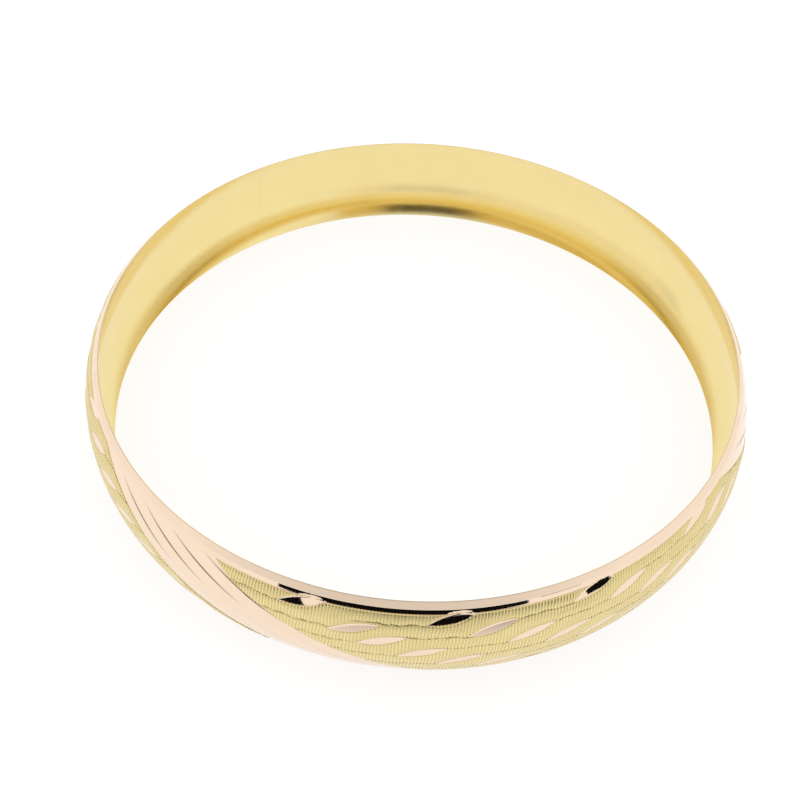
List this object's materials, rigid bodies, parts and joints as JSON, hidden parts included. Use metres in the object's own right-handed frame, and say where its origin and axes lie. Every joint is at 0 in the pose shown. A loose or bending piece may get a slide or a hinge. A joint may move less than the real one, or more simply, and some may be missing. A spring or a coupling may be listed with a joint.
{
  "type": "bangle bracelet",
  "caption": "Rigid round slip-on bangle with a domed band, bevelled borders, diagonal fluted panels and an engraved outside with leaf-shaped cuts.",
  "frame": {"origin": "centre of the ring, on the plane that the bangle lies on", "axes": "+Z along the axis of the ring, up when the bangle lies flat; -Y is the side that faces the camera in the picture"},
  "size_m": [0.0657, 0.0658, 0.0105],
  "materials": {
    "polished_yellow_gold": "polished",
    "rose_gold": "polished",
    "engraved_yellow_gold": "fine engraved ribs",
    "gold_solder": "satin"
  },
  "bodies": {
    "root": {"inner_liner": "polished_yellow_gold", "rose_band": "rose_gold", "textured_panel_1": "engraved_yellow_gold", "textured_panel_2": "engraved_yellow_gold", "textured_panel_3": "engraved_yellow_gold", "seam_solder": "gold_solder"}
  },
  "joints": []
}
